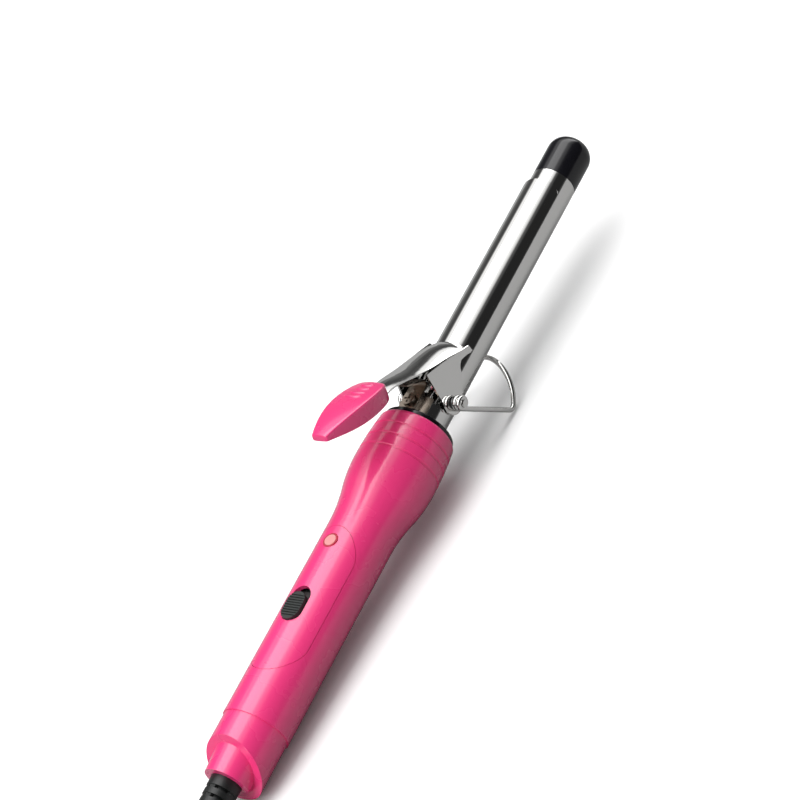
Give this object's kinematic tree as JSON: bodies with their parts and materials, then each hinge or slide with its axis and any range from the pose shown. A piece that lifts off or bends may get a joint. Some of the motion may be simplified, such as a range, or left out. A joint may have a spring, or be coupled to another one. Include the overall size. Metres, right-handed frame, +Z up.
{
  "type": "curling wand",
  "caption": "Hand-held curling wand with a round heated barrel, a sprung clip with a thumb lever, a folding wire stand, a flared handle with a slide switch and lamp, and a swivelling cord.",
  "frame": {"origin": "middle of the wand's footprint on the surface that it stands on (the cord, its hank and the plug left out)", "axes": "+X along the wand towards the barrel's tip, level with the surface; +Z up; +Y across the wand, along the hinge pins"},
  "size_m": [0.5649, 0.0506, 0.0691],
  "materials": {
    "aluminium": "extruded",
    "black_plastic": "glossy",
    "brass": "plain",
    "ceramic": "matte",
    "chrome": "polished",
    "cord_sheath": "satin",
    "dark_nickel": "polished",
    "dark_plastic": "matte",
    "film": "film",
    "glass_fibre": "woven",
    "heat_resin": "matte",
    "lamp_cream": "translucent",
    "lamp_glass": "clear",
    "lamp_red": "translucent",
    "pink_plastic": "glossy",
    "rubber": "satin",
    "steel": "plain",
    "wire_insulation": "matte"
  },
  "bodies": {
    "handle": {"handle_shell": "pink_plastic", "switch_panel": "pink_plastic", "rear_cap": "pink_plastic", "mouth_bushing": "black_plastic", "cool_tip": "black_plastic", "barrel_seat": "heat_resin", "barrel_tube": "chrome", "pivot_studs": "chrome", "pivot_washers": "steel", "spring_bracket": "dark_nickel", "clip_spring": "dark_nickel", "spring_screw": "dark_nickel", "heating_element": "ceramic", "insulating_film": "film", "spreader_upper": "aluminium", "spreader_lower": "aluminium", "thermal_fuse": "steel", "fuse_sleeve": "glass_fibre", "heater_leads": "wire_insulation", "switch_body": "dark_plastic", "switch_terminals": "brass", "switch_screws": "steel", "lamp_bezel": "lamp_red", "lamp_lens": "lamp_cream", "neon_lamp": "lamp_glass", "lamp_resistor": "ceramic", "cap_screw": "steel", "cord_clamp_bar": "heat_resin", "cord_clamp_base": "heat_resin", "cord_clamp_screws": "steel", "wire_connectors": "brass", "mains_cord": "cord_sheath", "cord_hank": "cord_sheath", "cord_tie": "dark_plastic", "cord_tail": "cord_sheath", "plug_body": "rubber", "plug_pins": "brass"},
    "clip": {"clip_plate": "chrome", "thumb_rest": "pink_plastic", "thumb_rest_rivets": "steel"},
    "stand": {"stand_wire": "chrome"},
    "switch_knob": {"switch_slider": "dark_plastic"},
    "cord_swivel": {"strain_relief": "rubber", "swivel_ring": "steel"}
  },
  "joints": [
    {"name": "clip_pivot", "type": "hinge", "parent": "handle", "child": "clip", "pos_m": [0.03534, 0, 0.02767], "axis": [0, -1, 0], "range_deg": [0, 22], "stiffness_Nm_per_rad": 0.25, "springref_deg": -17.19, "deforming": ["clip_spring"]},
    {"name": "stand_pivot", "type": "hinge", "parent": "handle", "child": "stand", "pos_m": [0.03534, 0, 0.02767], "axis": [0, 1, 0], "range_deg": [-3, 38]},
    {"name": "power_switch_slide", "type": "slide", "parent": "handle", "child": "switch_knob", "axis": [0.997, 0, 0.0776], "range_m": [0, 0.003]},
    {"name": "cord_swivel_turn", "type": "hinge", "parent": "handle", "child": "cord_swivel", "pos_m": [-0.14185, 0, 0.01288], "axis": [0.997, 0, 0.0776], "continuous": true}
  ]
}
